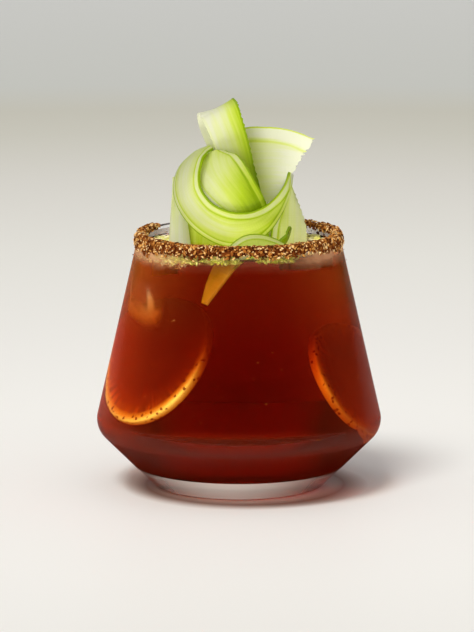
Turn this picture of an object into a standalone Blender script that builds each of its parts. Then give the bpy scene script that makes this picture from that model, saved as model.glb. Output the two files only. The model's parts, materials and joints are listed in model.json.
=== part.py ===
"""A spiced tomato cocktail in a stemless glass: crumb-crusted rim and a knot of celery ribbons.

Metres, +Z up. The origin is the middle of the glass's foot, on the table. The shown side faces -Y.
"""

import math
import random

import bmesh
import bpy
from mathutils import Matrix, Vector

MM = 0.001  # every size below is in millimetres

# The glass: a narrow foot, a 45 degree lower cone, a low shoulder and a long taper up to the rim.
GLASS_HEIGHT = 88.0
RIM_RADIUS = 34.8
RIM_WALL = 1.5
LIP_FILLET = 0.7
SHOULDER_RADIUS = 50.2  # where the two cones would meet, before the fillet
SHOULDER_HEIGHT = 20.7
SHOULDER_FILLET = 7.0
INNER_SHOULDER_FILLET = 6.0
FOOT_RADIUS = 29.6
FOOT_FILLET = 1.8
CONE_WALL = 2.3
BASE_THICKNESS = 7.2
INNER_BASE_FILLET = 9.0
PUNT_DEPTH = 1.0  # the shallow hollow under the foot
PUNT_RADIUS = 22.0
PUNT_FILLET = 3.0
FOOT_RING_INNER = 25.0
FOOT_RING_FILLET = 1.0
WALL_LEAN = (SHOULDER_RADIUS - RIM_RADIUS) / (GLASS_HEIGHT - SHOULDER_HEIGHT)

# The drink stands just under the rim.
DRINK_LEVEL = 83.4
FIT_GAP = 0.3  # between pieces that touch

# Celery ribbons, shaved with a peeler.
RIBBON_THICKNESS = 0.9
SLOT_GAP = 0.45  # the drink's clearance round a ribbon
KNOT_CENTRE = Vector((-1.0, 0.0, 100.4))

# The spice crust runs round the rim from the back left, past the front, to the back right.
CRUST_FROM = 148.0  # degrees round from +X
CRUST_TO = 458.0
CRUST_STEPS = 48
CRUST_THICKNESS = 0.6
OUTSIDE_DROPS = (1.0, 4.2, 4.0, 3.3, 3.0, 3.3, 4.0, 2.4, 0.9, 0.7)  # evenly spaced along the crust
INSIDE_DROPS = (1.0, 2.4, 1.8, 1.3, 1.2, 1.4, 2.2, 3.2, 3.0, 1.2)
FLAKE_COUNT = 72
FLAKE_LENGTHS = (0.6, 1.0)  # half sizes
FLAKE_WIDTHS = (0.4, 0.6)
FLAKE_DEPTHS = (0.28, 0.4)
FLAKE_PROUD = 0.12  # how far a flake's middle stands off the crust's skin
FLAKE_SEED = 7

TURN_STEPS = 48  # round the glass


def clear_scene():
    for thing in list(bpy.data.objects):
        bpy.data.objects.remove(thing)


def material(name, colour, roughness, transmission=0.0, ior=1.45):
    made = bpy.data.materials.new(name)
    made.use_nodes = True
    shader = made.node_tree.nodes["Principled BSDF"]
    shader.inputs["Base Color"].default_value = (*colour, 1.0)
    shader.inputs["Roughness"].default_value = roughness
    shader.inputs["Transmission Weight"].default_value = transmission
    shader.inputs["IOR"].default_value = ior
    return made


def new_object(name, mesh, finish):
    mesh.materials.append(finish)
    made = bpy.data.objects.new(name, mesh)
    bpy.context.scene.collection.objects.link(made)
    return made


def smooth_by_angle(mesh, degrees):
    mesh.shade_smooth()
    mesh.set_sharp_from_angle(angle=math.radians(degrees))


# Turned pieces

def filleted(corners):
    """The profile through (radius, height, fillet, steps) corners, each rounded to its fillet."""
    points = []
    for index, (radius, height, fillet, steps) in enumerate(corners):
        corner = Vector((radius, height))
        if not fillet:
            points.append(corner)
            continue
        back = (Vector(corners[index - 1][:2]) - corner).normalized()
        ahead = (Vector(corners[index + 1][:2]) - corner).normalized()
        half_angle = back.angle(ahead) / 2
        reach = fillet / math.tan(half_angle)
        middle = corner + (back + ahead).normalized() * fillet / math.sin(half_angle)
        start = corner + back * reach - middle
        swing = start.angle_signed(corner + ahead * reach - middle)
        for step in range(steps + 1):
            spoke = start.copy()
            spoke.rotate(Matrix.Rotation(-swing * step / steps, 2))
            points.append(middle + spoke)
    return points


def turned(name, profile, finish):
    """The profile spun round the Z axis. It runs from the axis, round the outside, back to the axis."""
    shape = bmesh.new()
    rim = [shape.verts.new((p.x * MM, 0, p.y * MM)) for p in profile]
    edges = [shape.edges.new(pair) for pair in zip(rim, rim[1:])]
    bmesh.ops.spin(
        shape, geom=rim + edges, cent=(0, 0, 0), axis=(0, 0, 1), angle=math.tau, steps=TURN_STEPS,
        use_merge=True,
    )
    bmesh.ops.remove_doubles(shape, verts=shape.verts, dist=1e-6)
    bmesh.ops.recalc_face_normals(shape, faces=shape.faces)
    mesh = bpy.data.meshes.new(name)
    shape.to_mesh(mesh)
    shape.free()
    smooth_by_angle(mesh, 35)
    return new_object(name, mesh, finish)


def inner_rim_radius(gap):
    """The radius, at the rim's height, of the glass's inner wall set in by a gap."""
    return RIM_RADIUS - RIM_WALL - gap * math.hypot(1, WALL_LEAN)


def inner_corners(gap):
    """The glass's inside below its rim, set in by a gap, as filleted's corners down to the axis."""
    spread = (SHOULDER_RADIUS - FOOT_RADIUS) / SHOULDER_HEIGHT
    cone_radius = FOOT_RADIUS - (CONE_WALL + gap) * math.hypot(1, spread)  # of the lower cone at height 0
    wall_radius = inner_rim_radius(gap) + WALL_LEAN * GLASS_HEIGHT  # of the upper wall at height 0
    shoulder = (wall_radius - cone_radius) / (spread + WALL_LEAN)
    bottom = BASE_THICKNESS + gap
    return [
        (cone_radius + spread * shoulder, shoulder, INNER_SHOULDER_FILLET, 5),
        (cone_radius + spread * bottom, bottom, INNER_BASE_FILLET, 3),
        (0.0, bottom, 0.0, 0),
    ]


def make_glass(finish):
    outside = [
        (0.0, PUNT_DEPTH, 0.0, 0),
        (PUNT_RADIUS, PUNT_DEPTH, PUNT_FILLET, 2),
        (FOOT_RING_INNER, 0.0, FOOT_RING_FILLET, 1),
        (FOOT_RADIUS, 0.0, FOOT_FILLET, 3),
        (SHOULDER_RADIUS, SHOULDER_HEIGHT, SHOULDER_FILLET, 6),
        (RIM_RADIUS, GLASS_HEIGHT, LIP_FILLET, 3),
        (inner_rim_radius(0.0), GLASS_HEIGHT, LIP_FILLET, 3),
    ]
    return turned("glass", filleted(outside + inner_corners(0.0)), finish)


def make_drink(finish, garnish):
    """The drink, up to its level, with a slot cut round each ribbon that dips into it."""
    brim = inner_rim_radius(FIT_GAP) + WALL_LEAN * (GLASS_HEIGHT - DRINK_LEVEL)
    surface = [(0.0, DRINK_LEVEL, 0.0, 0), (brim, DRINK_LEVEL, 0.0, 0)]
    drink = turned("drink", filleted(surface + inner_corners(FIT_GAP)), finish)
    for ribbon in garnish:
        cutter = ribbon_object(ribbon, "slot_for_" + ribbon["name"], finish, SLOT_GAP)
        cutter.hide_render = True
        cutter.display_type = "WIRE"
        cut = drink.modifiers.new("slot", "BOOLEAN")
        cut.operation = "DIFFERENCE"
        cut.object = cutter
    return drink


# Celery ribbons

def between(values, share):
    """A smooth curve through evenly spaced values, read at a share of its length from 0 to 1."""
    last = len(values) - 1
    place = min(share * last, last - 1e-9)
    left = int(place)
    t = place - left
    a = values[max(left - 1, 0)]
    b, c = values[left], values[left + 1]
    d = values[min(left + 2, last)]
    bend = (2 * a - 5 * b + 4 * c - d) * t * t
    twist = (3 * b - a - 3 * c + d) * t ** 3
    return 0.5 * (2 * b + (c - a) * t + bend + twist)


def heading(azimuth, rise):
    """The unit vector at an azimuth from +X and a rise above the horizontal, in degrees."""
    a, e = math.radians(azimuth), math.radians(rise)
    return Vector((math.cos(a) * math.cos(e), math.sin(a) * math.cos(e), math.sin(e)))


def free_route(*stations):
    """Stations of (x, y, z, azimuth and rise of the ribbon's width)."""
    return [Vector(s[:3]) for s in stations], [heading(*s[3:]) for s in stations]


def knot_route(*stations):
    """Stations of (azimuth, elevation, radius) on the round knot. The ribbon lies flat on the ball."""
    points = [KNOT_CENTRE + heading(azimuth, lift) * radius for azimuth, lift, radius in stations]
    widths = []
    for index, point in enumerate(points):
        ahead = points[min(index + 1, len(points) - 1)] - points[max(index - 1, 0)]
        widths.append((point - KNOT_CENTRE).cross(ahead).normalized())
    return points, widths


def floating_route(*stations):
    """Stations of (azimuth, radius, height, rise) round the glass's axis. The width points outwards."""
    points = [heading(azimuth, 0) * radius + Vector((0, 0, z)) for azimuth, radius, z, _ in stations]
    return points, [heading(azimuth, rise) for azimuth, _, _, rise in stations]


GARNISH = [
    # Wraps the knot's left side and front, like a cup.
    {"name": "celery_front_wrap", "crown": 1.0, "steps": 34,
     "width": (6, 14, 17.6, 17.6, 15, 14, 14.6, 14, 10.8, 7, 4.4, 2.6),
     "route": knot_route(
         (184, 63, 20.5), (188, 51, 21.1), (194.5, 38, 21.3), (203.5, 21, 20.8), (215, 4, 20.2),
         (233, -13, 19.8), (257, -25, 19.6), (281, -26, 19.6), (300, -17, 19.9), (316, -3, 20.3),
         (332, 12, 20.8), (349, 24, 21.6))},
    # The bud inside it, whose lower end dips into the drink.
    {"name": "celery_inner_bud", "crown": 1.8, "steps": 28, "dips": True,
     "width": (5, 14, 18, 18.4, 17, 15, 14.4, 13, 11),
     "route": knot_route(
         (216, 60, 19.6), (228, 51.5, 18.6), (241, 40, 17.7), (254, 28, 17.4), (267, 14, 17.3),
         (279, -1, 17.2), (287, -19, 17.0), (292, -42, 17.2), (290, -66, 20.4))},
    # The tall tongue that folds over at the top.
    {"name": "celery_folded_tongue", "crown": 0.5, "steps": 36, "dips": True,
     "width": (10, 12, 11.6, 11.4, 12, 13.2, 13.6, 13.4, 12.8, 12, 9),
     "route": free_route(
         (4.6, -1.6, 80.0, 14, 0), (4.2, -1.8, 90.0, 14, 0), (2.4, -2.0, 100.0, 14, 4),
         (-0.1, -2.2, 110.0, 14, 12), (-2.6, -2.2, 119.6, 14, 19), (-5.6, -2.0, 128.2, 14, 21),
         (-7.0, -0.6, 131.4, 14, 21), (-8.0, 1.6, 131.0, 14, 21), (-7.6, 3.8, 126.6, 12, 20),
         (-4.6, 4.9, 118.0, 10, 18), (-1.8, 4.8, 108.0, 8, 8))},
    # The wing rises from the drink behind the knot, widens and ends in a slanting cut on the right.
    {"name": "celery_wing", "crown": 0.8, "slant": 0.46, "steps": 32, "dips": True,
     "width": (10, 11, 12, 13, 18, 24, 26, 26, 24),
     "route": free_route(
         (-11.4, 14.0, 76.0, 214, 0), (-12.2, 13.4, 86.0, 212, 4), (-12.0, 12.2, 95.0, 200, 25),
         (-9.4, 11.6, 102.0, 150, 58), (-4.8, 11.2, 106.6, 112, 74), (1.3, 9.8, 109.4, 100, 82),
         (8.0, 7.8, 110.4, 90, 88), (14.0, 6.6, 110.2, 30, 88), (19.4, 5.6, 109.2, 10, 88))},
    # The band that rises from the drink and closes the knot's back.
    {"name": "celery_back_wrap", "crown": 1.1, "steps": 22, "dips": True,
     "width": (9, 11, 12, 12, 11, 7),
     "route": knot_route(
         (34, -56, 26.0), (52, -38, 22.0), (78, -20, 20.6), (106, -4, 21.4), (132, 10, 22.3),
         (156, 26, 21.8))},
    # Three tails that run down into the drink.
    {"name": "celery_left_tail", "crown": 0.5, "steps": 16, "dips": True,
     "width": (3, 6, 8, 9.5, 10),
     "route": free_route(
         (-21.6, 3.6, 107.4, 60, 0), (-20.9, 2.2, 98.0, 50, 0), (-20.5, 0.2, 89.0, 40, 0),
         (-20.2, -1.4, 80.0, 36, 0), (-20.0, -2.0, 73.0, 34, 0))},
    {"name": "celery_inner_tail", "crown": 0.9, "steps": 14, "dips": True,
     "width": (9, 13, 15, 15),
     "route": free_route(
         (-10.6, 3.4, 100.0, 344, 0), (-11.4, 3.4, 92.5, 342, 0), (-12.0, 3.2, 84.0, 340, 0),
         (-12.0, 3.0, 76.0, 340, 0))},
    {"name": "celery_right_tail", "crown": 0.9, "steps": 16, "dips": True,
     "width": (3, 9, 13, 14, 14),
     "route": free_route(
         (17.6, 5.2, 104.0, 50, 0), (17.6, 5.0, 97.0, 38, 0), (17.6, 4.4, 90.0, 28, 0),
         (17.4, 3.8, 81.0, 24, 0), (17.2, 3.4, 74.0, 24, 0))},
    # A piece that lies on the drink, against the glass.
    {"name": "celery_floating_left", "crown": 0.4, "steps": 18,
     "width": (6.4, 6.4),
     "route": floating_route(
         (200, 29.2, 85.5, 8), (213, 29.5, 84.8, 0), (227, 29.8, 85.3, -8), (241, 29.8, 84.8, 2),
         (254, 29.6, 84.7, 0))},
    # The hump in front, whose left end sinks beside the glass as a pointed blade.
    {"name": "celery_front_hump", "crown": 0.5, "steps": 26, "dips": True,
     "width": (2.4, 6.2, 8.4, 10.4, 11.5, 9, 5),
     "route": free_route(
         (-11.4, -33.6, 69.0, 310, -30), (-7.6, -32.0, 76.2, 309, -30), (-3.2, -30.1, 82.9, 300, -32),
         (2.4, -28.0, 87.2, 280, -36), (7.9, -26.8, 87.6, 287, -34), (13.0, -25.4, 86.9, 295, -30),
         (17.2, -24.0, 85.9, 304, -20))},
    {"name": "celery_small_curl", "crown": 0.5, "steps": 14,
     "width": (4, 6, 6, 3),
     "route": free_route(
         (9.0, -14.6, 84.9, 230, 4), (13.0, -13.0, 85.4, 240, 4), (16.4, -10.0, 87.6, 255, 0),
         (17.8, -8.0, 91.2, 262, 0))},
]
ACROSS_STEPS = 3


def ribbon_rows(ribbon, gap=0.0):
    """Points across the ribbon's middle surface, row by row. A gap makes it larger all round."""
    points, widths = ribbon["route"]
    rows = []
    for step in range(ribbon["steps"] + 1):
        share = step / ribbon["steps"]
        ahead = (between(points, min(share + 0.01, 1)) - between(points, max(share - 0.01, 0))).normalized()
        across = between(widths, share)
        across = (across - ahead * across.dot(ahead)).normalized()
        width = between(ribbon["width"], share)
        row = []
        for cell in range(ACROSS_STEPS + 1):
            side = 2 * cell / ACROSS_STEPS - 1
            lean = ribbon.get("slant", 0.0) * share ** 3 * side * width / 2
            place = between(points, share) + across * side * (width / 2 + gap)
            place += ahead * (lean + gap * (2 * share - 1))
            row.append(place - ahead.cross(across) * ribbon["crown"] * side * side)
        rows.append(row)
    return rows


def ribbon_object(ribbon, name, finish, gap=0.0):
    """A thin crowned strip along its route. With a gap it serves as a cutter."""
    shape = bmesh.new()
    rows = [[shape.verts.new(place * MM) for place in row] for row in ribbon_rows(ribbon, gap)]
    for lower, upper in zip(rows, rows[1:]):
        for cell in range(ACROSS_STEPS):
            shape.faces.new((lower[cell], lower[cell + 1], upper[cell + 1], upper[cell]))
    mesh = bpy.data.meshes.new(name)
    shape.to_mesh(mesh)
    shape.free()
    smooth_by_angle(mesh, 40)
    strip = new_object(name, mesh, finish)
    thicken = strip.modifiers.new("thickness", "SOLIDIFY")
    thicken.thickness = (RIBBON_THICKNESS + 2 * gap) * MM
    thicken.offset = 0.0
    return strip


# Spice crust

def crust_section(share):
    """The crust's cross-section at a share of its length: radii and heights from its outer lower edge."""
    end_taper = min(1.0, 12 * share + 0.1, 12 * (1 - share) + 0.1)
    uneven = 1 + 0.13 * math.sin(44 * share) + 0.1 * math.sin(101 * share + 1)
    drop = between(OUTSIDE_DROPS, share) * uneven * end_taper
    inside_drop = between(INSIDE_DROPS, share) * uneven * end_taper
    thick = CRUST_THICKNESS * (0.85 + 0.15 * math.sin(62 * share))
    outer = RIM_RADIUS + FIT_GAP
    inner = RIM_RADIUS - RIM_WALL - FIT_GAP
    top = GLASS_HEIGHT + FIT_GAP
    return [
        (outer + WALL_LEAN * drop, GLASS_HEIGHT - drop),
        (outer + WALL_LEAN * drop + thick * 0.8, GLASS_HEIGHT - drop * 0.9),
        (outer + WALL_LEAN * drop / 2 + thick, GLASS_HEIGHT - drop / 2),
        (outer + thick * 0.6, top + thick * 0.3),
        (outer - RIM_WALL / 2, top + thick * 0.8),
        (inner - thick * 0.5, top + thick * 0.3),
        (inner - thick, GLASS_HEIGHT - inside_drop / 2),
        (inner + WALL_LEAN * inside_drop - thick * 0.6, GLASS_HEIGHT - inside_drop * 0.9),
        (inner + WALL_LEAN * inside_drop, GLASS_HEIGHT - inside_drop),
        (inner, top),
        (outer, top),
    ]


def crust_azimuth(share):
    """The place round the rim of a share of the crust's length, in degrees from +X."""
    return CRUST_FROM + (CRUST_TO - CRUST_FROM) * share


def crust_band(finish):
    """A thin uneven saddle over the rim, capped at both ends."""
    shape = bmesh.new()
    rings = []
    for step in range(CRUST_STEPS + 1):
        share = step / CRUST_STEPS
        turn = Matrix.Rotation(math.radians(crust_azimuth(share)), 3, "Z")
        rings.append([shape.verts.new(turn @ Vector((r, 0, h)) * MM) for r, h in crust_section(share)])
    for ring, beyond in zip(rings, rings[1:]):
        for corner in range(len(ring)):
            after = (corner + 1) % len(ring)
            shape.faces.new((ring[corner], ring[after], beyond[after], beyond[corner]))
    shape.faces.new(rings[0])
    shape.faces.new(rings[-1])
    bmesh.ops.recalc_face_normals(shape, faces=shape.faces)
    mesh = bpy.data.meshes.new("spice_rim")
    shape.to_mesh(mesh)
    shape.free()
    return new_object("spice_rim", mesh, finish)


def make_flake(draw, finish):
    """One flat crumb, its inner side sunk in the crust's outer skin."""
    share = draw.uniform(0.01, 0.99)
    skin = [Vector(corner) for corner in crust_section(share)[1:8]]
    place = draw.uniform(0, len(skin) - 1.001)
    low, high = skin[int(place)], skin[int(place) + 1]
    spot = low.lerp(high, place % 1)
    outward = Vector(((high - low).y, -(high - low).x)).normalized() * FLAKE_PROUD
    length, width = draw.uniform(*FLAKE_LENGTHS), draw.uniform(*FLAKE_WIDTHS)
    depth = draw.uniform(*FLAKE_DEPTHS)
    shape = bmesh.new()
    bmesh.ops.create_icosphere(shape, subdivisions=1, radius=1.0)
    bmesh.ops.scale(shape, vec=(depth, width, length), verts=shape.verts)
    spin = Matrix.Rotation(draw.uniform(0, math.pi), 4, "X")
    lie = Matrix.Rotation(math.atan2(outward.x, outward.y) - math.pi / 2, 4, "Y")
    seat = Matrix.Translation((spot.x + outward.x, 0, spot.y + outward.y))
    turn = Matrix.Rotation(math.radians(crust_azimuth(share)), 4, "Z")
    bmesh.ops.transform(shape, matrix=Matrix.Scale(MM, 4) @ turn @ seat @ lie @ spin, verts=shape.verts)
    mesh = bpy.data.meshes.new("flake")
    shape.to_mesh(mesh)
    shape.free()
    return new_object("flake", mesh, finish)


def make_crust(finish):
    """The band, with the largest flakes fused to it."""
    crust = crust_band(finish)
    draw = random.Random(FLAKE_SEED)
    heap = bpy.data.collections.new("flakes")
    bpy.context.scene.collection.children.link(heap)
    for _ in range(FLAKE_COUNT):
        flake = make_flake(draw, finish)
        bpy.context.scene.collection.objects.unlink(flake)
        heap.objects.link(flake)
    join = crust.modifiers.new("fuse", "BOOLEAN")
    join.operation = "UNION"
    join.operand_type = "COLLECTION"
    join.collection = heap
    bpy.context.view_layer.update()
    fused = bpy.data.meshes.new_from_object(crust.evaluated_get(bpy.context.evaluated_depsgraph_get()))
    crust.modifiers.clear()
    crust.data = fused
    for flake in list(heap.objects):
        bpy.data.objects.remove(flake)
    bpy.data.collections.remove(heap)


def main():
    clear_scene()
    clear_glass = material("clear_glass", (0.95, 0.96, 0.95), 0.02, transmission=1.0, ior=1.5)
    tomato = material("spiced_tomato_drink", (0.30, 0.012, 0.006), 0.1, transmission=0.3, ior=1.34)
    celery = material("celery", (0.62, 0.78, 0.22), 0.4)
    spice = material("brown_spice", (0.20, 0.065, 0.02), 0.8)
    make_glass(clear_glass)
    for ribbon in GARNISH:
        ribbon_object(ribbon, ribbon["name"], celery)
    make_drink(tomato, [ribbon for ribbon in GARNISH if ribbon.get("dips")])
    make_crust(spice)


main()
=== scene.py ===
"""Dresses the spiced tomato cocktail: glass, drink, sunk citrus and ice, celery ribbons and spice crust."""

import json
import math
import random

import bmesh
import bpy
import numpy as np
from mathutils import Matrix, Vector, noise

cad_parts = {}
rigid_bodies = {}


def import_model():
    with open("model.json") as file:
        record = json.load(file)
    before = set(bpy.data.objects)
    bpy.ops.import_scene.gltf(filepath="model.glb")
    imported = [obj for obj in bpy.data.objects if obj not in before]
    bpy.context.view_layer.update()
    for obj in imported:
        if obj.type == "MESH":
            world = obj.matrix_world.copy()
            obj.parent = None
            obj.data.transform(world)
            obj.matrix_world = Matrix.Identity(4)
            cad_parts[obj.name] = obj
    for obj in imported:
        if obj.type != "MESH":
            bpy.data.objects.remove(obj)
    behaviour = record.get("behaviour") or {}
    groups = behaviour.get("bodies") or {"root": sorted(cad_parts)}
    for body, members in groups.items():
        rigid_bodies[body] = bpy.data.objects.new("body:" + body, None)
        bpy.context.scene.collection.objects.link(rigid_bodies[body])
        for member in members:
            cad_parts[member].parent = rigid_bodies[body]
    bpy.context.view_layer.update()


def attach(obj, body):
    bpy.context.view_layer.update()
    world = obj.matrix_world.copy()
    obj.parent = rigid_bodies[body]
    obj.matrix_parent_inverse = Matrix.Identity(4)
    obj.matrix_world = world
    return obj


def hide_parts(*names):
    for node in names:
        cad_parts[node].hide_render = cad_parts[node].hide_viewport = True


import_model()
scene = bpy.context.scene

# Camera
# It stands 1.6 m in front of the glass, looks down on it by ten degrees and has a long lens, so
# the glass shows almost without perspective.
PICTURE_HEIGHT = 632  # pixels
LENS_IN_PIXELS = 4680
SENSOR = 36.0
CAMERA_PLACE = (-0.00069, -1.6, 0.344)
CAMERA_TILT = 79.9  # degrees up from straight down
bpy.ops.object.camera_add(location=CAMERA_PLACE, rotation=(math.radians(CAMERA_TILT), 0, 0))
camera = bpy.context.object
camera.data.sensor_width = SENSOR
camera.data.lens = SENSOR * LENS_IN_PIXELS / PICTURE_HEIGHT
scene.camera = camera

# Floor and light
# A pale table, painted greyer and darker towards the back of the room: painted shade for the light
# falling off. A large soft window stands high at the front left. The room is bright behind and beside the
# glass and dark in front, so nothing veils the drink. Close round the foot a painted contact shadow darkens
# the table, painted red for the light that comes through the drink.
FLOOR_TONES_AND_PAINTED_SHADE = (  # distance from the glass in metres, and the table's colour there
    (0.0, (0.89, 0.87, 0.835)),
    (0.028, (0.89, 0.87, 0.835)),
    # From here to 0.042 m: a painted contact shadow round the foot, painted dark red.
    (0.030, (0.05, 0.012, 0.01)),
    (0.035, (0.36, 0.22, 0.18)),
    (0.042, (0.89, 0.87, 0.835)),
    (0.15, (0.88, 0.86, 0.82)),
    # From here on: painted shade, the table darker towards the back of the room.
    (0.30, (0.82, 0.80, 0.76)),
    (0.50, (0.75, 0.735, 0.685)),
    (0.72, (0.65, 0.63, 0.58)),
    (0.90, (0.55, 0.535, 0.465)),
    (0.99, (0.515, 0.50, 0.43)),
    (1.10, (0.52, 0.525, 0.49)),
    (1.60, (0.56, 0.56, 0.54)),
    (1.80, (0.20, 0.20, 0.19)),
    (2.20, (0.05, 0.05, 0.05)),
)
FLOOR_REACH = 2.2
# The centre of the painted contact shadow round the foot.
CONTACT_SHADOW_CENTRE = (0.0022, -0.0022, 0)  # the dim ring lies a little to the front right, away from the window
SUN_TRAVEL = (0.30, 0.38, -0.87)  # the way the window's light goes: from the front left, and steep
SUN_COLOUR = (1.0, 0.985, 0.96)
SUN_SPREAD = 20  # degrees: how soft the window's shadows are
LAMPS_AIM = (0, 0, 0.09)
CEILING_GREY = (0.68, 0.682, 0.68, 1)
LAMP_GROUPS = ("every_piece", "ribbons", "all_but_ribbons", "wheels", "crust")


def new_material(name):
    """An empty Principled material with its node tree, shader and output."""
    made = bpy.data.materials.new(name)
    made.use_nodes = True
    tree = made.node_tree
    return made, tree, tree.nodes["Principled BSDF"], tree.nodes["Material Output"]


def feed(made, *inputs, **named):
    """Sets a node's inputs, in order or by name with underscores for spaces. A socket is linked."""
    for key, value in [*enumerate(inputs), *named.items()]:
        socket = made.inputs[key if isinstance(key, int) else key.replace("_", " ")]
        if isinstance(value, bpy.types.NodeSocket):
            made.id_data.links.new(value, socket)
        elif value is not None:
            socket.default_value = value
    return made


def new_node(tree, kind, *inputs, operation=None, **named):
    """A shader node with its inputs fed, and its operation set if it has one."""
    made = tree.nodes.new(kind)
    if operation:
        made.operation = operation
    return feed(made, *inputs, **named)


def ramp(socket, stops, interpolation="LINEAR"):
    """What a colour ramp with (place, colour or grey) stops gives for a socket."""
    made = new_node(socket.id_data, "ShaderNodeValToRGB", socket)
    made.color_ramp.interpolation = interpolation
    points = made.color_ramp.elements
    while len(points) < len(stops):
        points.new(0.5)
    for point, (place, tone) in zip(points, stops):
        point.position = place
        point.color = (*tone, 1) if isinstance(tone, tuple) else (tone, tone, tone, 1)
    return made.outputs[0]


def calc(operation, first, second=0.0):
    """A Math node's result. The first side is a socket, the second a socket or a number."""
    return new_node(first.id_data, "ShaderNodeMath", first, second, operation=operation).outputs[0]


def blended(blend, factor, first, second):
    """Two colours blended. The first is a socket, the factor and the second may be plain."""
    made = first.id_data.nodes.new("ShaderNodeMix")
    made.data_type = "RGBA"
    made.blend_type = blend
    unused = [None] * 5  # its inputs for numbers and vectors
    return feed(made, factor, *unused, first, second).outputs[2]


def object_place(tree):
    """The place on the piece, and the sockets of its x, y and z."""
    place = tree.nodes.new("ShaderNodeTexCoord").outputs["Object"]
    return place, new_node(tree, "ShaderNodeSeparateXYZ", place).outputs


def start_piece(name, add_primitive, location=(0, 0, 0), **measures):
    """A primitive under the piece's name, with nothing else selected."""
    bpy.ops.object.select_all(action="DESELECT")
    add_primitive(location=location, **measures)
    piece = bpy.context.object
    piece.name = name
    return piece


floor = start_piece(
    "table", bpy.ops.mesh.primitive_circle_add, (0, 0, -0.0001), vertices=128, radius=6.0, fill_type="NGON")
floor_finish, tree, shader, _ = new_material("pale_table")
place, _ = object_place(tree)
reach = new_node(tree, "ShaderNodeVectorMath", place, CONTACT_SHADOW_CENTRE, operation="DISTANCE").outputs["Value"]
floor_and_shade_stops = [(away / FLOOR_REACH, tone) for away, tone in FLOOR_TONES_AND_PAINTED_SHADE]
floor_tone_and_shade = ramp(calc("DIVIDE", reach, FLOOR_REACH), floor_and_shade_stops)
feed(shader, Base_Color=floor_tone_and_shade, Roughness=0.55, Specular_IOR_Level=0.2)
floor.data.materials.append(floor_finish)

scene.view_settings.view_transform = "Standard"
world = bpy.data.worlds.new("studio")
scene.world = world
world.use_nodes = True
tree = world.node_tree
toward = tree.nodes.new("ShaderNodeTexCoord").outputs["Generated"]
away = new_node(tree, "ShaderNodeSeparateXYZ", toward).outputs
to_back = calc("ADD", calc("MULTIPLY", away["Y"], 0.5), 0.5)
walls = ramp(to_back, [(0.0, 0.01), (0.5, 0.02), (0.8, 0.05), (0.965, 0.1), (0.99, 0.9), (1.0, 0.9)])
overhead = ramp(away["Z"], [(0.42, 0.0), (0.6, 1.0)])
feed(tree.nodes["Background"], Color=blended("MIX", overhead, walls, CEILING_GREY))
lights_on = {group: bpy.data.collections.new(group) for group in LAMP_GROUPS}


def new_lamp(name, kind, location, travel, energy, receivers):
    """A lamp whose light goes one way and reaches only one group of pieces."""
    bpy.ops.object.light_add(type=kind, location=location)
    lamp = bpy.context.object
    lamp.name = name
    lamp.rotation_euler = travel.to_track_quat("-Z", "Y").to_euler()
    lamp.data.energy = energy
    lamp.light_linking.receiver_collection = lights_on[receivers]
    return lamp


for name, energy, receivers in (("window", 1.95, "all_but_ribbons"), ("window_on_ribbons", 0.5, "ribbons")):
    window = new_lamp(name, "SUN", (0, 0, 0), Vector(SUN_TRAVEL), energy, receivers)
    window.data.angle = math.radians(SUN_SPREAD)
    window.data.color = SUN_COLOUR
for name, location, size, energy, receivers, blockers in (
        ("front_box", (-0.55, -1.5, 0.30), 1.1, 14.0, "every_piece", "every_piece"),
        ("low_card", (0.08, -0.75, -0.80), 0.8, 15.0, "ribbons", "ribbons"),
        ("crust_card", (0.90, -1.2, 0.20), 0.8, 5.0, "crust", "every_piece"),
        ("rind_card", (-0.30, -1.2, -0.22), 0.8, 14.0, "wheels", "every_piece")):
    to_glass = Vector(LAMPS_AIM) - Vector(location)
    soft_box = new_lamp(name, "AREA", location, to_glass, energy, receivers)
    soft_box.data.size = size
    soft_box.visible_glossy = soft_box.visible_transmission = False
    soft_box.light_linking.blocker_collection = lights_on[blockers]

# Glass
# A stemless tumbler of clear pressed glass with a low shoulder. It is turned from one profile: a
# hollow under the foot, two cones that meet in the shoulder, a rounded lip and a thick base.
MM = 0.001
GLASS_HEIGHT = 88.0
RIM_RADIUS = 34.8
RIM_WALL = 1.5
SHOULDER_RADIUS, SHOULDER_HEIGHT = 50.2, 20.7
FOOT_RADIUS = 29.6
CONE_WALL = 2.3
BASE_THICKNESS = 7.2
WALL_LEAN = (SHOULDER_RADIUS - RIM_RADIUS) / (GLASS_HEIGHT - SHOULDER_HEIGHT)
FOOT_SPREAD = (SHOULDER_RADIUS - FOOT_RADIUS) / SHOULDER_HEIGHT
ROUND_STEPS = 144
DRINK_LEVEL = 83.4
WET_HEIGHT = 84.5
GLASS_IOR = 1.5
GLASS_COLOUR = (0.985, 0.99, 0.985, 1)
PAINTED_HAZE_COLOUR = (0.93, 0.885, 0.81, 1)


def inner_radius(height, gap=0.0):
    """The radius of the upper wall's inside at a height, set in by a gap."""
    return RIM_RADIUS - RIM_WALL - gap * math.hypot(1, WALL_LEAN) + WALL_LEAN * (GLASS_HEIGHT - height)


def inner_rings(gap):
    """The inside below the rim, set in by a gap: radius, height, fillet and its steps."""
    cone = FOOT_RADIUS - (CONE_WALL + gap) * math.hypot(1, FOOT_SPREAD)
    shoulder = (inner_radius(0, gap) - cone) / (FOOT_SPREAD + WALL_LEAN)
    bottom = BASE_THICKNESS + (0.03 if gap < 0 else 0.0)
    return [
        (cone + FOOT_SPREAD * shoulder, shoulder, 6.0, 10),
        (cone + FOOT_SPREAD * bottom, bottom, 9.0, 8),
        (12.0, bottom, 0, 0),
    ]


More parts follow.
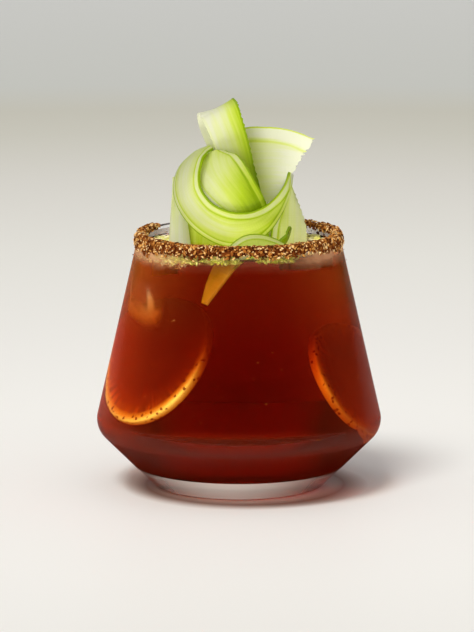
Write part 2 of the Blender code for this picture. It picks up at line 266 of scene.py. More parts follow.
def drawn_round(name, rings):
    """Extrudes a circle from ring to ring, fills both ends and bevels the rings that have a fillet."""
    piece = start_piece(
        name, bpy.ops.mesh.primitive_circle_add,
        vertices=ROUND_STEPS, radius=rings[0][0] * MM, fill_type="NOTHING")
    bpy.ops.object.mode_set(mode="EDIT")
    bpy.ops.mesh.select_mode(type="EDGE")
    bpy.ops.mesh.select_all(action="SELECT")
    bpy.ops.transform.translate(value=(0, 0, rings[0][1] * MM))
    for (radius, height, _, _), (next_radius, next_height, _, _) in zip(rings, rings[1:]):
        bpy.ops.mesh.extrude_region_move()
        widen = next_radius / radius
        bpy.ops.transform.resize(value=(widen, widen, 1), center_override=(0, 0, 0))
        bpy.ops.transform.translate(value=(0, 0, (next_height - height) * MM))
    bpy.ops.mesh.select_all(action="SELECT")
    bpy.ops.mesh.fill_holes(sides=0)
    bpy.ops.mesh.normals_make_consistent(inside=False)
    for index, (radius, height, fillet, steps) in enumerate(rings):
        if not fillet:
            continue
        corner = Vector((radius, height))
        back = Vector(rings[index - 1][:2]) - corner
        ahead = Vector(rings[index + 1][:2]) - corner
        select_ring(piece, radius * MM, height * MM)
        bpy.ops.mesh.bevel(
            offset=fillet * MM / math.tan(back.angle(ahead) / 2), segments=steps, affect="EDGES",
            clamp_overlap=False)
    bpy.ops.object.mode_set(mode="OBJECT")
    bpy.ops.object.shade_smooth_by_angle(angle=math.radians(38))
    return piece


def select_ring(piece, radius, height):
    """Selects the edges that lie on one ring, in edit mode."""
    bpy.ops.mesh.select_all(action="DESELECT")
    shape = bmesh.from_edit_mesh(piece.data)
    for edge in shape.edges:
        edge.select = all(
            abs(v.co.z - height) < 1e-6 and abs(math.hypot(v.co.x, v.co.y) - radius) < 1e-5
            for v in edge.verts)
    shape.select_flush_mode()
    bmesh.update_edit_mesh(piece.data)


glass = drawn_round("clear_tumbler", [
    (12.0, 1.0, 0, 0),
    (22.0, 1.0, 3.0, 4),
    (25.0, 0.0, 1.0, 2),
    (FOOT_RADIUS, 0.0, 1.8, 6),
    (FOOT_RADIUS + FOOT_SPREAD * BASE_THICKNESS, BASE_THICKNESS, 0, 0),
    (SHOULDER_RADIUS, SHOULDER_HEIGHT, 7.0, 14),
    (inner_radius(WET_HEIGHT, -RIM_WALL / math.hypot(1, WALL_LEAN)), WET_HEIGHT, 0, 0),
    (RIM_RADIUS, GLASS_HEIGHT, 0.7, 5),
    (inner_radius(GLASS_HEIGHT), GLASS_HEIGHT, 0.7, 5),
    (inner_radius(WET_HEIGHT), WET_HEIGHT, 0, 0),
    *inner_rings(0.0),
])


def noise_at(place, scale, detail=2.0):
    """Cloudy noise from 0 to 1, with its scale in waves to the metre, or to one unit of a map."""
    made = new_node(place.id_data, "ShaderNodeTexNoise", Vector=place, Scale=scale, Detail=detail)
    return made.outputs["Fac"]


def bumped(height, strength, distance):
    """The normal of a surface that a height makes uneven, by a distance in metres at the most."""
    made = new_node(height.id_data, "ShaderNodeBump", Strength=strength, Distance=distance, Height=height)
    return made.outputs["Normal"]


def mix_shaders(share, first, second):
    """The first shader with a share of the second in it."""
    return new_node(first.id_data, "ShaderNodeMixShader", share, first.outputs[0], second.outputs[0])


def open_to_lamps(shader, output, colour):
    """Lets the lamps' rays pass straight through, tinted, while every other ray meets the shader."""
    tree = shader.id_data
    lamp_ray = tree.nodes.new("ShaderNodeLightPath").outputs["Is Shadow Ray"]
    let_by = new_node(tree, "ShaderNodeBsdfTransparent", Color=colour)
    feed(output, Surface=mix_shaders(lamp_ray, shader, let_by).outputs[0])


def tumbler_glass(name, mirror_tint, glancing=0.0, painted_haze=0.0, lets_by=(0.93, 0.94, 0.93, 1)):
    """Clear glass with faint waves from the mould. Lamps shine through it to what it holds.

    At a glancing angle it mirrors less than bare glass, by the glancing share. The painted haze is the
    share of a pale diffuse layer on it, a painted glow for the bright light seen through the glass, which
    thins out where the glass is seen aslant.
    """
    made, tree, shader, output = new_material(name)
    place, _ = object_place(tree)
    waves = bumped(noise_at(place, 30.0, 1.0), 0.06, 0.002)
    feed(shader, Base_Color=GLASS_COLOUR, Roughness=0.0, IOR=GLASS_IOR, Transmission_Weight=1.0,
         Specular_Tint=(mirror_tint, mirror_tint, mirror_tint, 1), Normal=waves)
    plain = new_node(tree, "ShaderNodeBsdfRefraction", IOR=GLASS_IOR, Roughness=0.0)
    slant = tree.nodes.new("ShaderNodeLayerWeight").outputs["Facing"]
    unmirrored = ramp(slant, [(0.2, 0.0), (0.4, glancing), (1.0, glancing)])
    outside = mix_shaders(unmirrored, shader, plain)
    if painted_haze:
        haze = new_node(tree, "ShaderNodeBsdfDiffuse", Color=PAINTED_HAZE_COLOUR)
        thinning = ramp(slant, [(0.40, painted_haze), (0.60, painted_haze * 0.5), (0.85, 0.0)])
        outside = mix_shaders(thinning, outside, haze)
    open_to_lamps(outside, output, lets_by)
    return made


# Where there is drink behind it, the glass hardly mirrors.
ROUND_DRINK, WETTED, FOOT, UNDER_SHOULDER, PAINTED_HAZE_RIM = range(1, 6)
SHOULDER_BEND = 4
for finish in (
        tumbler_glass("clear_glass", 0.45),
        tumbler_glass("glass_round_drink", 0.1, glancing=0.85),
        tumbler_glass("wetted_glass", 0.1),
        # The foot and the inside above the drink get a pale painted haze: a painted glow for the bright light
        # seen through the glass there.
        tumbler_glass("foot_glass_painted_haze", 0.45, painted_haze=0.85, lets_by=(0.35, 0.24, 0.2, 1)),
        tumbler_glass("glass_under_shoulder", 0.1, glancing=0.98, lets_by=(0.2, 0.13, 0.1, 1)),
        tumbler_glass("rim_glass_painted_haze", 0.45, painted_haze=0.1)):
    glass.data.materials.append(finish)
for face in glass.data.polygons:
    height = face.center.z / MM
    inside = face.normal.xy.dot(face.center.xy) < 0
    if BASE_THICKNESS + 0.1 < height < WET_HEIGHT - 0.1:
        outside_finish = ROUND_DRINK if height > SHOULDER_HEIGHT - SHOULDER_BEND else UNDER_SHOULDER
        face.material_index = WETTED if inside else outside_finish
    elif height < BASE_THICKNESS - 0.1:
        face.material_index = FOOT
    elif height > WET_HEIGHT and inside:
        face.material_index = PAINTED_HAZE_RIM
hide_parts("glass")
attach(glass, "root")

# Drink
# Spiced tomato juice with spirits, dark red and a little cloudy. It fills the glass to just under the
# rim and climbs the wall in a narrow meniscus. Its sides reach just into the glass.
INTO_WALL = -0.25
MENISCUS = ((-2.4, 0.0), (-1.0, 0.12), (-0.3, 0.5))  # how far from the wall, and how far up
MENISCUS_TOP = 1.1
SOAK_COLOUR = (0.915, 0.68, 0.28, 1)
SOAK_DENSITY = 300.0
CLEAR_BELOW = BASE_THICKNESS + 0.3
PALE_TO, SETTLED_TO = CLEAR_BELOW + 17, CLEAR_BELOW + 20.5  # where the sides thicken, and the dregs end
drink = drawn_round("tomato_drink", [
    (6.0, DRINK_LEVEL, 0, 0),
    *((inner_radius(DRINK_LEVEL) + away, DRINK_LEVEL + climb, 0, 0) for away, climb in MENISCUS),
    (inner_radius(DRINK_LEVEL + MENISCUS_TOP, INTO_WALL), DRINK_LEVEL + MENISCUS_TOP, 0, 0),
    *inner_rings(INTO_WALL),
])


def share_between(socket, low, high):
    """How far a place in metres is from low to high in millimetres: 0 at the first, 1 at the second."""
    return calc("MULTIPLY", calc("SUBTRACT", socket, low * MM), 1 / ((high - low) * MM))


tomato, tree, shader, output = new_material("cloudy_tomato_drink")
place, xyz = object_place(tree)
side_haze = calc("ADD", calc("MULTIPLY", noise_at(place, 55.0, 3.0), 0.06), 0.06)
below = ramp(share_between(xyz["Z"], DRINK_LEVEL - 0.6, DRINK_LEVEL - 0.1), [(0.0, 1.0), (1.0, 0.0)])
feed(shader, Base_Color=(0.99, 0.96, 0.94, 1), IOR=1.34, Transmission_Weight=1.0,
     Specular_Tint=(0.15, 0.15, 0.15, 1), Roughness=calc("MAXIMUM", calc("MULTIPLY", side_haze, below), 0.04))
soak = new_node(tree, "ShaderNodeVolumeAbsorption", Color=SOAK_COLOUR, Density=SOAK_DENSITY)
feed(output, Volume=soak.outputs[0])
# Higher up the pulp turns orange: painted light, for the light that reaches the top of the drink through less
# juice.
pulp_tone_with_painted_light = ramp(share_between(xyz["Z"], 0, DRINK_LEVEL), [
    (0.0, (0.60, 0.045, 0.008)),
    (0.66, (0.60, 0.05, 0.008)),
    (0.92, (0.62, 0.14, 0.015)),
])
pulp = new_node(tree, "ShaderNodeBsdfDiffuse", Color=pulp_tone_with_painted_light)
slant = tree.nodes.new("ShaderNodeLayerWeight").outputs["Facing"]
pulp_share = ramp(slant, [(0.0, 0.025), (0.04, 0.04), (0.12, 0.13), (0.2, 0.32), (0.28, 0.6), (0.36, 0.85)])
above_base = share_between(xyz["Z"], CLEAR_BELOW, PALE_TO)
above_base = ramp(above_base, [(0.0, 0.0), (0.15, 0.5), (0.8, 0.55), (1.0, 1.0)])
settled = share_between(xyz["Z"], CLEAR_BELOW, SETTLED_TO)
settled = ramp(settled, [(0.0, 0.0), (0.2, 0.16), (0.86, 0.14), (1.0, 0.0)])
on_sides = calc("MULTIPLY", pulp_share, calc("MULTIPLY", below, above_base))
open_to_lamps(mix_shaders(calc("MAXIMUM", on_sides, settled), shader, pulp), output, (0.95, 0.93, 0.92, 1))
drink.data.materials.append(tomato)
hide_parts("drink")
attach(drink, "root")

# Citrus wheels
# Two thick round slices of lemon sunk in the drink, each leaning with its lower edge on the glass. The
# flesh has soaked up the drink. The rind stays yellow, with pores and specks of spice that stuck to it.
WHEEL_THICKNESS = 3.2
PITH_WIDTH = 3.2
RIND_BEVEL = 0.7
USUAL_RADIUS = 24
FLESH_SHARE = 1 - PITH_WIDTH / USUAL_RADIUS
FLESH_EDGE, FLESH_SINK = 0.5, 0.35
PAINTED_VEIL_GLOW = (0.155, 0.008, 0.0008, 1)


def select_faces(piece, chosen):
    """Selects the faces that pass a test, in edit mode."""
    shape = bmesh.from_edit_mesh(piece.data)
    for face in shape.faces:
        face.select = chosen(face)
    bmesh.update_edit_mesh(piece.data)


def painted_veil(piece, clear_depth, fade, heights, shares):
    """Stores how clearly each place shows through the painted veil of drink: less with the depth of cloudy
    drink before it and by height.
    """
    clear = piece.data.attributes.new("clear", "FLOAT", "POINT")
    for vertex in piece.data.vertices:
        spot = vertex.co / MM
        depth = max(0.0, inner_radius(spot.z) - math.hypot(spot.x, spot.y))
        share = np.interp(spot.z, heights, shares)
        clear.data[vertex.index].value = share * min(1.0, math.exp((clear_depth - depth) / fade))


def attribute(tree, name):
    """The value that a piece's mesh stores under a name."""
    made = tree.nodes.new("ShaderNodeAttribute")
    made.attribute_name = name
    return made.outputs["Fac"]


def citrus_wheel(name, centre, azimuth, lift, radius, *clarity):
    """A slice turned so that its outer face, round the centre, looks along the azimuth and lift."""
    wheel = start_piece(
        name, bpy.ops.mesh.primitive_cylinder_add, (0, 0, -WHEEL_THICKNESS / 2 * MM),
        vertices=120, radius=radius * MM, depth=WHEEL_THICKNESS * MM)
    bpy.ops.object.transform_apply()
    bpy.ops.object.mode_set(mode="EDIT")
    bpy.ops.mesh.select_mode(type="FACE")
    select_faces(wheel, lambda face: abs(face.normal.z) > 0.9)
    bpy.ops.mesh.bevel(offset=RIND_BEVEL * MM, segments=3, affect="EDGES")
    bpy.ops.mesh.select_all(action="DESELECT")
    select_faces(wheel, lambda face: len(face.verts) > 4)
    bpy.ops.mesh.inset(thickness=(PITH_WIDTH - RIND_BEVEL) * MM, depth=0)
    bpy.ops.mesh.inset(thickness=FLESH_EDGE * MM, depth=-FLESH_SINK * MM)
    bpy.ops.object.mode_set(mode="OBJECT")
    layer = wheel.data.uv_layers.active.data
    for loop in wheel.data.loops:
        spot = wheel.data.vertices[loop.vertex_index].co
        layer[loop.index].uv = (spot.x / (radius * MM), spot.y / (radius * MM))
    bpy.ops.object.shade_smooth_by_angle(angle=math.radians(40))
    wheel.rotation_euler = (0, math.radians(90 - lift), math.radians(azimuth))
    wheel.location = Vector(centre) * MM
    bpy.ops.object.transform_apply()
    painted_veil(wheel, *clarity)
    wheel.data.materials.append(lemon_slice)
    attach(wheel, "root")


def swing(socket, strength):
    """How far a noise is above or below its middle, times a strength."""
    return calc("MULTIPLY", calc("SUBTRACT", socket, 0.5), strength)


lemon_slice, tree, shader, output = new_material("soaked_lemon_slice")
place, _ = object_place(tree)
face_map = tree.nodes.new("ShaderNodeUVMap").outputs["UV"]
share = new_node(tree, "ShaderNodeVectorMath", face_map, operation="LENGTH").outputs["Value"]
sides = new_node(tree, "ShaderNodeSeparateXYZ", face_map).outputs
angle = calc("ARCTAN2", sides["Y"], sides["X"])
tone = ramp(share, [
    (0.0, (0.10, 0.004, 0.001)),
    (0.52, (0.13, 0.010, 0.001)),
    (0.72, (0.28, 0.06, 0.005)),
    (0.84, (0.52, 0.19, 0.016)),
    (0.915, (0.90, 0.54, 0.07)),
    (0.985, (1.0, 0.95, 0.30)),
])
along = new_node(tree, "ShaderNodeCombineXYZ", calc("MULTIPLY", angle, 9.0), share)
streaks = noise_at(along.outputs[0], 3.0)
in_flesh = calc("LESS_THAN", share, FLESH_SHARE)
ray = calc("ABSOLUTE", calc("SINE", calc("MULTIPLY", angle, 5)))
membranes = ramp(calc("SUBTRACT", calc("ADD", ray, 1), in_flesh), [(0.0, 1.6), (0.12, 1.0)])
streak_here = swing(streaks, in_flesh)
streak_shade = ramp(calc("ADD", streak_here, 0.5), [(0.3, 0.45), (0.5, 1.0), (0.7, 1.8)])
pores = new_node(tree, "ShaderNodeTexVoronoi", Vector=place, Scale=760.0)
pore_shade = ramp(pores.outputs["Distance"], [(0.0, 0.75), (0.3, 1.0)])
crumple = new_node(tree, "ShaderNodeTexNoise", Vector=place, Scale=1500.0)
warp = new_node(
    tree, "ShaderNodeVectorMath", crumple.outputs["Color"], (0.0009, 0.0009, 0.0009), place,
    operation="MULTIPLY_ADD")
specks = new_node(tree, "ShaderNodeTexVoronoi", Vector=warp.outputs[0], Scale=640.0)
few = new_node(tree, "ShaderNodeSeparateColor", specks.outputs["Color"]).outputs[0]
on_rind = calc("GREATER_THAN", calc("SUBTRACT", few, in_flesh), 0.54)
speck_here = calc("MULTIPLY", calc("LESS_THAN", specks.outputs["Distance"], 0.40), on_rind)
speck_shade = ramp(speck_here, [(0.0, 1.0), (1.0, (0.26, 0.12, 0.08))])
# Painted veil: where the drink hides the slice, its colour is painted redder, a painted shade, and it fades
# into a dark red emission, a painted glow that stands in for the drink.
clear = attribute(tree, "clear")
painted_depth_shade = ramp(clear, [(0.0, (1.0, 0.25, 0.1)), (0.5, (1.0, 0.7, 0.45)), (1.0, 1.0)])
for shade in (membranes, streak_shade, pore_shade, speck_shade, painted_depth_shade):
    tone = blended("MULTIPLY", 1.0, tone, shade)
feed(shader, Base_Color=tone, Roughness=0.45, Specular_IOR_Level=0.3)
glow = new_node(tree, "ShaderNodeEmission", Color=PAINTED_VEIL_GLOW)
feed(output, Surface=mix_shaders(clear, glow, shader).outputs[0])
citrus_wheel(
    "left_citrus_wheel", (-27.2, -16.0, 46.3), 213.3, 34.0, 23.9, 2.9, 2.2, (54, 66), (1, 0))
citrus_wheel(
    "right_citrus_wheel", (34.6, -6.7, 38.2), 343.6, 31.2, 20.9, 6.5, 9.0,
    (20, 31, 40, 50, 54, 56.5), (0.35, 0.5, 1, 1, 0.7, 0.1))

# Celery ribbons
# Long shavings peeled off a celery stalk and wound into a loose knot that stands in the drink.
# Each is a thin wet strip with a green skin line along its edges, strings along it and a paler middle.
RIBBON_THICKNESS = 0.8
KNOT_CENTRE = Vector((-1.0, 0.0, 100.4))
ACROSS_CELLS = 14
ROW_LENGTH = 0.6
MEASURED_AT = 60  # steps along a route to find its length
STEP = 0.01  # the share of a route over which its direction is read
SKIN_EDGES = ("skin_low", "skin_high")  # the distance in millimetres from each edge, where skin shows
EDGE_SKIN, INNER_LINE, SKIN_REACH, NO_SKIN = 0.8, 2.46, 6.0, 30.0


def between(values, share):
    """A smooth curve through evenly spaced values, read at a share of its length from 0 to 1."""
    last = len(values) - 1
    place = min(share * last, last - 1e-9)
    left = int(place)
    t = place - left
    a = values[max(left - 1, 0)]
    b, c = values[left], values[left + 1]
    d = values[min(left + 2, last)]
    bend = (2 * a - 5 * b + 4 * c - d) * t * t
    twist = (3 * b - a - 3 * c + d) * t ** 3
    return 0.5 * (2 * b + (c - a) * t + bend + twist)


def heading(azimuth, rise):
    """The unit vector at an azimuth from +X and a rise above the horizontal, in degrees."""
    a, e = math.radians(azimuth), math.radians(rise)
    return Vector((math.cos(a) * math.cos(e), math.sin(a) * math.cos(e), math.sin(e)))


def free_route(*stations):
    """Stations of (x, y, z, azimuth and rise of the ribbon's width)."""
    return [Vector(s[:3]) for s in stations], [heading(*s[3:]) for s in stations]


def knot_route(*stations):
    """Stations of (azimuth, elevation, radius) on the round knot. The ribbon lies flat on the ball."""
    points = [KNOT_CENTRE + heading(azimuth, lift) * radius for azimuth, lift, radius in stations]
    widths = []
    for index, point in enumerate(points):
        ahead = points[min(index + 1, len(points) - 1)] - points[max(index - 1, 0)]
        widths.append((point - KNOT_CENTRE).cross(ahead).normalized())
    return points, widths


def floating_route(*stations):
    """Stations of (azimuth, radius, height, rise) round the glass's axis. The width points outwards."""
    points = [heading(azimuth, 0) * radius + Vector((0, 0, z)) for azimuth, radius, z, _ in stations]
    return points, [heading(azimuth, rise) for azimuth, _, _, rise in stations]


def ribbon_point(ribbon, share, side):
    """A place on the ribbon's middle surface, and the direction away from its convex side."""
    points, widths = ribbon["route"]
    ahead = (between(points, min(share + STEP, 1)) - between(points, max(share - STEP, 0))).normalized()
    across = between(widths, share)
    across = (across - ahead * across.dot(ahead)).normalized()
    width = between(ribbon["width"], share)
    lean = ribbon.get("slant", 0.0) * share ** 3 * side * width / 2
    place = between(points, share) + across * side * width / 2 + ahead * lean
    outward = ahead.cross(across)
    return place - outward * ribbon["crown"] * side * side, outward, across, ahead, width


def from_edge(distance, ribbon):
    """The distance to an edge, stretched so that the inner skin line falls where the ribbon has it."""
    stretch = (INNER_LINE - EDGE_SKIN) / (ribbon.get("inner_line", INNER_LINE) - EDGE_SKIN)
    return min(distance, EDGE_SKIN) + max(0.0, distance - EDGE_SKIN) * stretch


def face_outwards():
    """Turns the active piece's faces outwards."""
    bpy.ops.object.mode_set(mode="EDIT")
    bpy.ops.mesh.select_all(action="SELECT")
    bpy.ops.mesh.normals_make_consistent(inside=False)
    bpy.ops.object.mode_set(mode="OBJECT")


def thicken(piece, thickness):
    """Gives a skin a thickness, half of it to each side."""
    wall = piece.modifiers.new("thickness", "SOLIDIFY")
    wall.thickness = thickness * MM
    wall.offset = 0.0
    bpy.ops.object.modifier_apply(modifier=wall.name)


def shaved_ribbon(name, node, **ribbon):
    """One strip: a grid laid along its route, with nibbled edges and a slight ripple, then thickened."""
    points = ribbon["route"][0]
    marks = [between(points, index / MEASURED_AT) for index in range(MEASURED_AT + 1)]
    length = sum((end - start).length for start, end in zip(marks, marks[1:]))
    rows = max(12, round(length / ROW_LENGTH))
    strip = start_piece(
        name, bpy.ops.mesh.primitive_grid_add,
        x_subdivisions=ribbon.get("cells", ACROSS_CELLS), y_subdivisions=rows, size=2, calc_uvs=True)
    mesh = strip.data
    green = mesh.attributes.new("green", "FLOAT", "POINT")
    skin = [mesh.attributes.new(label, "FLOAT", "POINT") for label in SKIN_EDGES]
    place_on = [None] * len(mesh.vertices)
    nibble = ribbon.get("nibble", (0.1, 0.1))
    bare_until = ribbon.get("bare_until", -1.0)
    for vertex in mesh.vertices:
        side, share = vertex.co.x, (vertex.co.y + 1) / 2
        place, outward, across, ahead, width = ribbon_point(ribbon, share, side)
        run = share * length
        edge = nibble[0] if side < 0 else nibble[1]
        place += across * side ** 7 * edge * noise.noise(Vector((run * 1.1, 7.0 * side, 0)))
        tooth = ribbon.get("end_teeth", 0.0) * max(0.0, share * 12 - 11)  # in the last twelfth
        place -= ahead * tooth * abs(noise.noise(Vector((side * width * 0.42, 3.0, 1.0))))
        ripple = ribbon.get("ripple", 0.16) * noise.noise(Vector((side * 1.3, run * 0.16, length)))
        place += outward * ripple
        low, high = (from_edge(reach * width / 2, ribbon) for reach in (1 + side, 1 - side))
        tones = [between(edge_tones, share) for edge_tones in ribbon["tones"]]
        green.data[vertex.index].value = between(tones, (side + 1) / 2)
        for stored, distance, shows in zip(skin, (low, high), ribbon["skins"]):
            stored.data[vertex.index].value = distance if shows and share > bare_until else NO_SKIN
        place_on[vertex.index] = (place, side * width / 2, run)
    layer = mesh.uv_layers.active.data
    for loop in mesh.loops:
        _, sideways, run = place_on[loop.vertex_index]
        layer[loop.index].uv = (sideways, run)
    for vertex in mesh.vertices:
        vertex.co = place_on[vertex.index][0] * MM
    thicken(strip, RIBBON_THICKNESS)
    face_outwards()
    bpy.ops.object.shade_smooth_by_angle(angle=math.radians(42))
    mesh.materials.append(celery)
    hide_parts(node)
    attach(strip, "root")


SKIN_LINE = (  # share of the skin's reach, and how green the skin is there
    (0.0, 0.95), (0.05, 0.85), (0.12, 0.22), (0.3, 0.18), (0.36, 0.5), (0.41, 0.78), (0.46, 0.5), (0.56, 0.4))
STAIN_FROM, STAIN_TO = DRINK_LEVEL - 8.0, DRINK_LEVEL + 1.0
celery, tree, shader, output = new_material("wet_celery")
_, xyz = object_place(tree)
strand_map = tree.nodes.new("ShaderNodeUVMap").outputs["UV"]
stretch = new_node(tree, "ShaderNodeMapping", Vector=strand_map, Scale=(0.8, 0.04, 1.0))
strands = noise_at(stretch.outputs["Vector"], 1.0, 4.0)
greenness = calc("ADD", attribute(tree, "green"), swing(strands, 0.5))
for label in SKIN_EDGES:
    line = ramp(calc("DIVIDE", attribute(tree, label), SKIN_REACH), SKIN_LINE, "EASE")
    greenness = calc("ADD", greenness, calc("SUBTRACT", line, 0.4))
flesh = ramp(greenness, [
    (0.0, (0.93, 0.93, 0.74)),
    (0.25, (0.88, 0.92, 0.42)),
    (0.5, (0.78, 0.87, 0.15)),
    (0.75, (0.60, 0.75, 0.03)),
    (1.0, (0.34, 0.50, 0.005)),
])
stain = ramp(share_between(xyz["Z"], STAIN_FROM, STAIN_TO), [
    (0.0, (1.0, 0.50, 0.10)),
    (0.8, (1.0, 0.62, 0.22)),
    (1.0, 1.0),
])
soaked = blended("MULTIPLY", 1.0, flesh, stain)
chatter = new_node(tree, "ShaderNodeTexWave", Vector=strand_map, Scale=0.34, Distortion=1.6)
chatter.bands_direction = "Y"
relief = bumped(calc("ADD", calc("MULTIPLY", chatter.outputs["Fac"], 0.3), strands), 0.3, 0.0003)
feed(shader, Base_Color=soaked, Normal=relief, Roughness=0.34, Specular_IOR_Level=0.45, IOR=1.4)
glow = new_node(tree, "ShaderNodeBsdfTranslucent", Color=soaked, Normal=relief)
feed(output, Surface=mix_shaders(0.36, shader, glow).outputs[0])

# Wraps the knot's left side and front, like a cup.
shaved_ribbon(
    "front_wrap_ribbon", "celery_front_wrap", crown=1.0, skins=(True, True),
    width=(9, 15.5, 18, 17.6, 15, 14, 14.6, 14, 10.8, 7, 4.4, 2.6),
    tones=((0.6, 0.4, 0.7, 0.8, 0.5), (0.4, 0.1, 0.3, 0.65, 0.4), (0.5, 0.4, 0.6, 0.5, 0.3)),
    route=knot_route(
        (184, 63, 20.5), (188, 51, 21.1), (194.5, 38, 21.3), (203.5, 21, 20.8), (215, 4, 20.2),
        (233, -13, 19.8), (257, -25, 19.6), (281, -26, 19.6), (300, -17, 19.9), (316, -3, 20.3),
        (332, 12, 20.8), (349, 24, 21.6)))
# The bud inside it, whose lower end dips into the drink.
shaved_ribbon(
    "inner_bud_ribbon", "celery_inner_bud", crown=1.8, skins=(True, True),
    width=(8, 15.5, 18.2, 18.4, 17, 15, 14.4, 13, 11),
    tones=((0.4, 0.1, 0.1, 0.4, 0.8), (0.4, 0.3, 0.6, 1.0, 0.9), (0.5, 0.5, 0.9, 1.0, 0.8)),
    route=knot_route(
        (216, 60, 19.6), (228, 51.5, 18.6), (241, 40, 17.7), (254, 28, 17.4), (267, 14, 17.3),
        (279, -1, 17.2), (287, -19, 17.0), (292, -42, 17.2), (290, -66, 20.4)))
# The tall tongue that folds over at the top.
shaved_ribbon(
    "folded_tongue_ribbon", "celery_folded_tongue", crown=0.5, skins=(False, True), nibble=(0.1, 0.45),
    ripple=0.06, inner_line=40.0,
    width=(10, 12, 11.6, 11.4, 12, 13.2, 13.6, 13.4, 12.8, 12, 9),
    tones=(
        (0.6, 0.5, 0.35, 0.15, 0.15, 0.4), (0.8, 0.65, 0.5, 0.3, 0.25, 0.5), (1.1, 1.1, 1.05, 0.9, 0.6, 0.6)),
    route=free_route(
        (4.6, -1.6, 80.0, 14, 0), (4.2, -1.8, 90.0, 14, 0), (2.4, -2.0, 100.0, 14, 4),
        (-0.1, -2.2, 110.0, 14, 12), (-2.6, -2.2, 119.6, 14, 19), (-5.6, -2.0, 128.1, 14, 21),
        (-7.0, -0.6, 131.2, 14, 21), (-8.0, 1.6, 130.8, 14, 21), (-7.6, 3.8, 126.6, 12, 20),
        (-4.6, 4.9, 118.0, 10, 18), (-1.8, 4.8, 108.0, 8, 8)))
# The wing rises from the drink behind the knot, widens and ends in a slanting cut on the right.
shaved_ribbon(
    "wing_ribbon", "celery_wing", crown=0.8, slant=0.46, skins=(False, True), end_teeth=3.0, cells=44,
    inner_line=5.0, width=(10, 11, 12, 13, 20, 28.4, 28.4, 26.6, 24),
    tones=((0.5, 0.5, 0.6, 0.3, 0.1), (0.5, 0.5, 0.6, 0.2, -0.05), (0.6, 0.6, 0.4, 0.1, -0.1)),
    route=free_route(
        (-11.4, 14.0, 76.0, 214, 0), (-12.2, 13.4, 86.0, 212, 4), (-12.0, 12.2, 95.0, 200, 25),
        (-9.4, 11.6, 102.0, 150, 58), (-4.8, 11.2, 106.6, 112, 74), (1.3, 9.8, 108.7, 100, 82),
        (8.0, 7.8, 109.7, 90, 88), (14.0, 6.6, 109.9, 30, 88), (19.4, 5.6, 109.2, 10, 88)))
# The band that rises from the drink and closes the knot's back.
shaved_ribbon(
    "back_wrap_ribbon", "celery_back_wrap", crown=1.1, skins=(True, True),
    width=(9, 11, 12, 12, 11, 7),
    tones=((0.5, 0.4, 0.3, 0.4), (0.4, 0.3, 0.2, 0.3), (0.5, 0.4, 0.3, 0.4)),
    route=knot_route(
        (34, -56, 26.0), (52, -38, 22.0), (78, -20, 20.6), (106, -4, 21.4), (132, 10, 22.3),
        (156, 26, 21.8)))
# Three tails that run down into the drink.
shaved_ribbon(
    "left_tail_ribbon", "celery_left_tail", crown=0.5, skins=(False, False),
    width=(3, 6, 8, 9.5, 10),
    tones=((0.2, 0.15, 0.1, 0.4), (0.1, 0.05, 0.05, 0.3), (0.25, 0.2, 0.2, 0.5)),
    route=free_route(
        (-21.6, 3.6, 107.4, 60, 0), (-20.9, 2.2, 98.0, 50, 0), (-20.5, 0.2, 89.0, 40, 0),
        (-20.2, -1.4, 80.0, 36, 0), (-20.0, -2.0, 73.0, 34, 0)))
shaved_ribbon(
    "inner_tail_ribbon", "celery_inner_tail", crown=0.9, skins=(False, False),
    width=(9, 13, 15, 15),
    tones=((0.5, 0.6, 0.7, 0.8), (0.5, 0.55, 0.7, 0.8), (0.5, 0.6, 0.7, 0.8)),
    route=free_route(
        (-10.6, 3.4, 100.0, 344, 0), (-11.4, 3.4, 92.5, 342, 0), (-12.0, 3.2, 84.0, 340, 0),
        (-12.0, 3.0, 76.0, 340, 0)))
shaved_ribbon(
    "right_tail_ribbon", "celery_right_tail", crown=0.9, skins=(True, False), nibble=(0.1, 0.7),
    width=(3, 9, 13, 14, 14),
    tones=((0.6, 0.5, 0.5, 0.6), (0.3, 0.3, 0.35, 0.5), (0.25, 0.15, 0.2, 0.4)),
    route=free_route(
        (17.6, 5.2, 104.0, 50, 0), (17.6, 5.0, 97.0, 38, 0), (17.6, 4.4, 90.0, 28, 0),
        (17.4, 3.8, 81.0, 24, 0), (17.2, 3.4, 74.0, 24, 0)))
# A piece that lies on the drink, against the glass.
shaved_ribbon(
    "floating_left_ribbon", "celery_floating_left", crown=0.4, skins=(True, False),
    width=(6.4, 6.4),
    tones=((0.5, 0.5), (0.3, 0.4), (0.4, 0.5)),
    route=floating_route(
        (200, 29.2, 85.5, 8), (213, 29.5, 84.8, 0), (227, 29.8, 85.3, -8), (241, 29.8, 84.8, 2),
        (254, 29.6, 84.7, 0)))
# The hump in front, whose left end sinks beside the glass as a pointed blade.
shaved_ribbon(
    "front_hump_ribbon", "celery_front_hump", crown=0.5, skins=(True, True), bare_until=0.3,
    width=(2.4, 6.2, 8.4, 10.4, 11.5, 9, 5),
    tones=((0.5, 0.5, 0.5, 0.6, 0.6), (0.5, 0.5, 0.5, 0.5, 0.5), (0.2, 0.3, 0.4, 0.4, 0.4)),
    route=free_route(
        (-11.4, -33.6, 69.0, 310, -30), (-7.6, -32.0, 76.2, 309, -30), (-3.2, -30.1, 82.9, 300, -32),
        (2.4, -28.0, 87.2, 280, -36), (7.9, -26.8, 87.6, 287, -34), (13.0, -25.4, 86.9, 295, -30),
        (17.2, -24.0, 85.9, 304, -20)))
shaved_ribbon(
    "small_curl_ribbon", "celery_small_curl", crown=0.5, skins=(True, False),
    width=(4, 8, 8, 3),
    tones=((1.1, 1.1), (1.0, 1.0), (1.2, 1.2)),
    route=free_route(
        (9.0, -14.6, 84.9, 230, 4), (13.0, -13.0, 85.4, 240, 4), (16.4, -10.0, 87.6, 255, 0),
        (17.8, -8.0, 91.2, 262, 0)))

